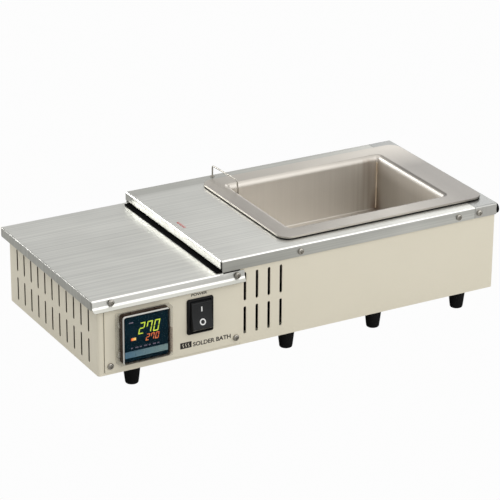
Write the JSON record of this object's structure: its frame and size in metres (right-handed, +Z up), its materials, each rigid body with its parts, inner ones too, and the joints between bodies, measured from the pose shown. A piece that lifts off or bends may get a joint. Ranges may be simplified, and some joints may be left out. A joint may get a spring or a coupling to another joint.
{
  "type": "solder bath",
  "caption": "Bench-top solder bath with a deep rectangular steel tank, digital temperature controller, rocker switch and thermocouple.",
  "frame": {"origin": "bottom centre of the bounding box, on the plane the feet stand on", "axes": "+X from the control end to the tank end, +Y from the control panel's front to the back, +Z up"},
  "size_m": [0.4634, 0.227, 0.1242],
  "materials": {
    "cream_paint": "satin enamel, fine orange peel",
    "cover_steel": "brushed stainless sheet",
    "tank_steel": "brushed stainless, slightly heat tinted",
    "zinc_sheet": "zinc-plated sheet",
    "black_sheet": "matt black",
    "insulation": "pressed mineral fibre",
    "black_plastic": "fine texture",
    "screen": "glossy display window",
    "key_band": "membrane keypad",
    "clear_plastic": "clear moulded plastic",
    "rubber": "moulded rubber",
    "screw_steel": "plated screws",
    "probe_steel": "drawn stainless sheath",
    "aluminium": "mill finish",
    "terminal": "moulded"
  },
  "bodies": {
    "bath": {"base_tray": "zinc_sheet", "control_wrap": "cream_paint", "hot_wrap": "cream_paint", "control_panel": "cream_paint", "control_back_panel": "cream_paint", "partition": "zinc_sheet", "step_riser": "black_sheet", "control_cover": "cover_steel", "hot_cover": "cover_steel", "end_cover": "cover_steel", "tank": "tank_steel", "tank_gasket": "insulation", "heater_plate": "aluminium", "heater_clamp": "zinc_sheet", "insulation_tray": "insulation", "tank_liner": "zinc_sheet", "controller_body": "black_plastic", "controller_bezel": "black_plastic", "controller_window": "screen", "controller_key_band": "key_band", "cover_frame": "clear_plastic", "switch_housing": "black_plastic", "heat_sink": "aluminium", "power_relay": "black_plastic", "terminal_block": "terminal", "temp_limiter": "terminal", "mains_inlet": "black_plastic", "fuse_holder": "black_plastic", "earth_stud": "screw_steel", "foot_front_1": "rubber", "foot_back_1": "rubber", "foot_front_2": "rubber", "foot_back_2": "rubber", "foot_front_3": "rubber", "foot_back_3": "rubber", "foot_front_4": "rubber", "foot_back_4": "rubber", "bumper_front": "rubber", "bumper_back": "rubber", "panel_screw_left": "screw_steel", "panel_screw_right": "screw_steel", "control_cover_screw_front_left": "screw_steel", "control_cover_screw_front_right": "screw_steel", "control_cover_screw_back_left": "screw_steel", "control_cover_screw_back_right": "screw_steel", "hot_cover_screw_front_left": "screw_steel", "hot_cover_screw_front_right": "screw_steel", "hot_cover_screw_back_left": "screw_steel", "hot_cover_screw_back_right": "screw_steel", "end_cover_screw_front": "screw_steel", "end_cover_screw_back": "screw_steel"},
    "rocker": {"switch_rocker": "black_plastic"},
    "key_1": {"controller_key_1": "key_band"},
    "key_2": {"controller_key_2": "key_band"},
    "key_3": {"controller_key_3": "key_band"},
    "key_4": {"controller_key_4": "key_band"},
    "instrument_door": {"cover_door": "clear_plastic"},
    "fuse_cap": {"fuse_cap": "black_plastic"},
    "probe_collar": {"probe_collar": "probe_steel"},
    "probe": {"thermocouple_probe": "probe_steel"}
  },
  "joints": [
    {"name": "rocker_rock", "type": "hinge", "parent": "bath", "child": "rocker", "pos_m": [-0.1158, -0.10007, 0.0604], "axis": [1, 0, 0], "range_deg": [0, 20]},
    {"name": "key_1_press", "type": "slide", "parent": "bath", "child": "key_1", "axis": [0, 1, 0], "range_m": [0, 0.0004], "stiffness_N_per_m": 1500},
    {"name": "key_2_press", "type": "slide", "parent": "bath", "child": "key_2", "axis": [0, 1, 0], "range_m": [0, 0.0004], "stiffness_N_per_m": 1500},
    {"name": "key_3_press", "type": "slide", "parent": "bath", "child": "key_3", "axis": [0, 1, 0], "range_m": [0, 0.0004], "stiffness_N_per_m": 1500},
    {"name": "key_4_press", "type": "slide", "parent": "bath", "child": "key_4", "axis": [0, 1, 0], "range_m": [0, 0.0004], "stiffness_N_per_m": 1500},
    {"name": "instrument_door_swing", "type": "hinge", "parent": "bath", "child": "instrument_door", "pos_m": [-0.205, -0.10637, 0.052], "axis": [0, 0, 1], "range_deg": [-110, 0]},
    {"name": "fuse_cap_turn", "type": "hinge", "parent": "bath", "child": "fuse_cap", "pos_m": [-0.1464, 0.10447, 0.049], "axis": [0, 1, 0], "range_deg": [0, 60]},
    {"name": "probe_swing", "type": "hinge", "parent": "bath", "child": "probe_collar", "pos_m": [0.0071, 0.09922, 0.112], "axis": [0, 0, 1], "range_deg": [0, 30]},
    {"name": "probe_lift", "type": "slide", "parent": "probe_collar", "child": "probe", "axis": [0, 0, 1], "range_m": [0, 0.055]}
  ]
}
